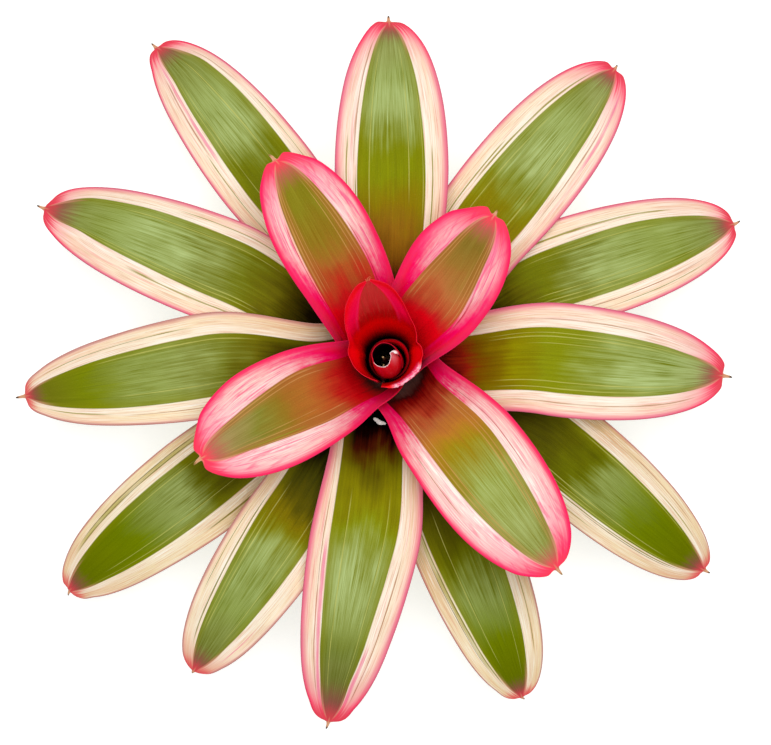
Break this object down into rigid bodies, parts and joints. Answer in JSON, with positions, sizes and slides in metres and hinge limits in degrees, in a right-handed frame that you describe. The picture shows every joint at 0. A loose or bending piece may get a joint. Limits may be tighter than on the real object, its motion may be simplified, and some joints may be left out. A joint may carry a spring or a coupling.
{
  "type": "bromeliad",
  "caption": "Bromeliad rosette cut at its stem: arching leaves with a green middle, cream margins and pink edges around upright red inner leaves and a rolled red heart.",
  "frame": {"origin": "centre of the bounding box seen from above, at the level of the flat cut end of the stem that the plant stands on", "axes": "+Z up along the stem; seen from above with +Y up and +X to the right, the small heart leaf leans towards +Y"},
  "size_m": [0.3234, 0.3162, 0.1248],
  "materials": {
    "stem": "dry, fibrous, matt",
    "leaf_outer": "waxy leaf, satin, green with cream margins and pink edges",
    "leaf_inner": "waxy leaf, satin, olive and red with pink margins",
    "leaf_heart": "young leaf, glossy red"
  },
  "bodies": {
    "root": {"stem": "stem", "outer_leaf_01": "leaf_outer", "outer_leaf_02": "leaf_outer", "outer_leaf_03": "leaf_outer", "outer_leaf_04": "leaf_outer", "outer_leaf_05": "leaf_outer", "outer_leaf_06": "leaf_outer", "outer_leaf_07": "leaf_outer", "outer_leaf_08": "leaf_outer", "outer_leaf_09": "leaf_outer", "outer_leaf_10": "leaf_outer", "outer_leaf_11": "leaf_outer", "outer_leaf_12": "leaf_outer", "inner_leaf_01": "leaf_inner", "inner_leaf_02": "leaf_inner", "inner_leaf_03": "leaf_inner", "inner_leaf_04": "leaf_inner", "heart_leaf": "leaf_heart", "roll_outer_leaf": "leaf_heart", "roll_leaf": "leaf_heart", "youngest_leaf": "leaf_heart"}
  },
  "joints": []
}
